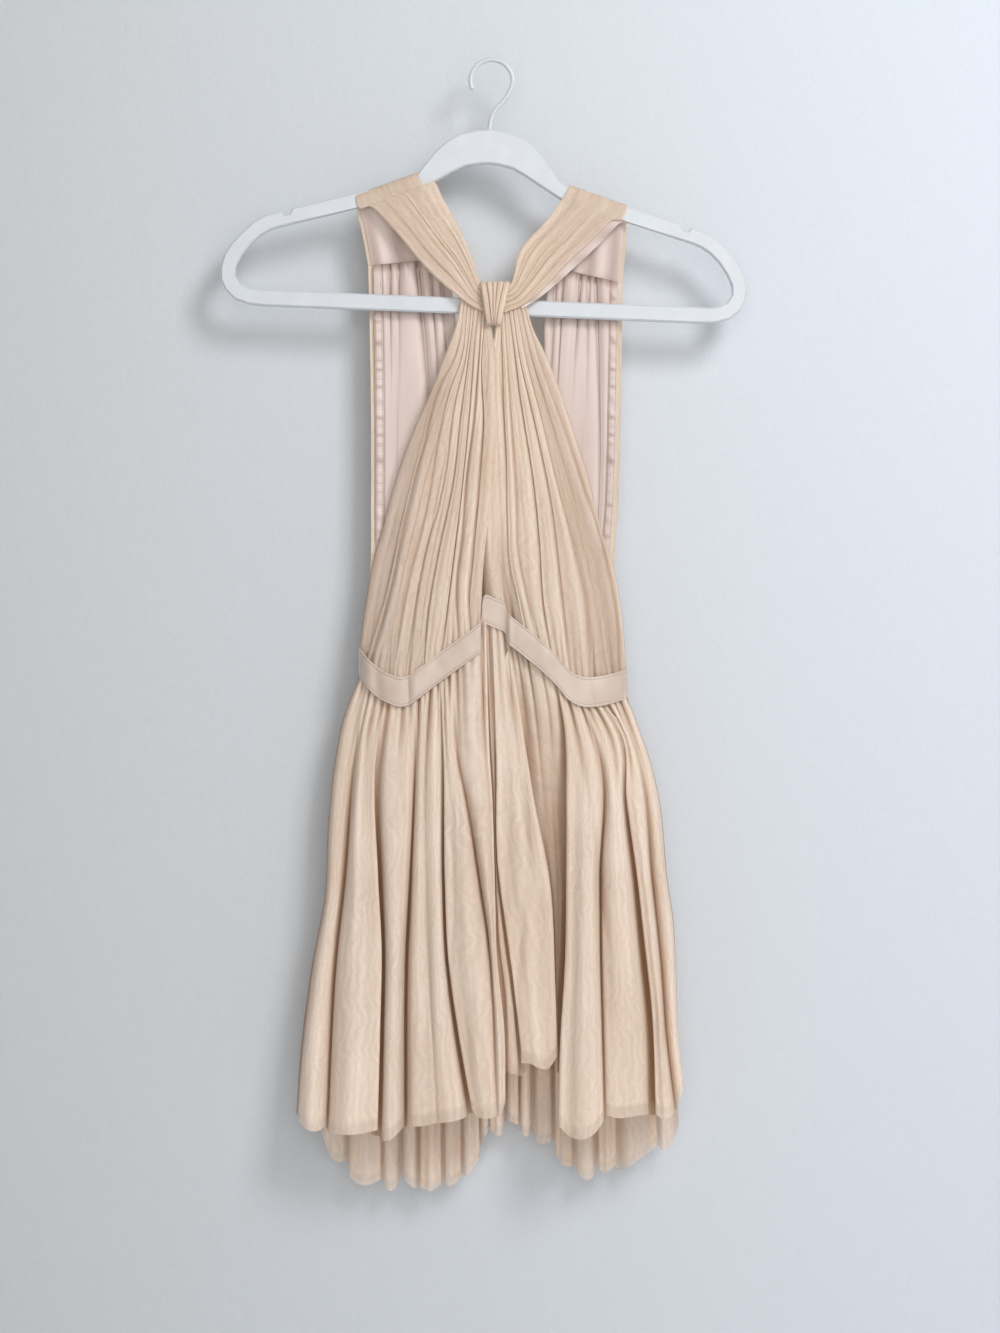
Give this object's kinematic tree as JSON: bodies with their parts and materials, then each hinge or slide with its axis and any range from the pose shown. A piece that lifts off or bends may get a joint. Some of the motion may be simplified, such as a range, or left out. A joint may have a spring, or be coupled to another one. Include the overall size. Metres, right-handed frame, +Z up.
{
  "type": "tulle mini dress on a hanger",
  "caption": "sleeveless halter mini dress in gathered beige tulle with a satin waist ribbon, hanging on a slim moulded hanger",
  "frame": {"origin": "under the crown of the hook, at the point that rests on the rail", "axes": "+Z up, +X to the right of someone facing the front of the dress, +Y away from them towards the wall"},
  "size_m": [0.4469, 0.0753, 0.9648],
  "materials": {
    "tulle": "fine soft net in two layers, warm beige, with a slight sheen on the folds",
    "satin": "smooth pinkish beige satin with soft creases",
    "ribbon": "satin ribbon with stitched edges and a soft shine",
    "plastic": "smooth off-white moulded plastic",
    "coated_wire": "steel wire with a white coat"
  },
  "bodies": {
    "root": {"hanger_body": "plastic", "hanger_hook": "coated_wire", "strap_left": "tulle", "strap_right": "tulle", "strap_lining_right": "satin", "knot_loop": "tulle", "bodice_front_left": "tulle", "bodice_front_right": "tulle", "bodice_back_left": "tulle", "bodice_back_right": "tulle", "back_lining_left": "satin", "back_lining_right": "satin", "facing_left": "satin", "facing_right": "satin", "waist_band": "ribbon", "skirt_front": "tulle", "skirt_back": "tulle"}
  },
  "joints": []
}
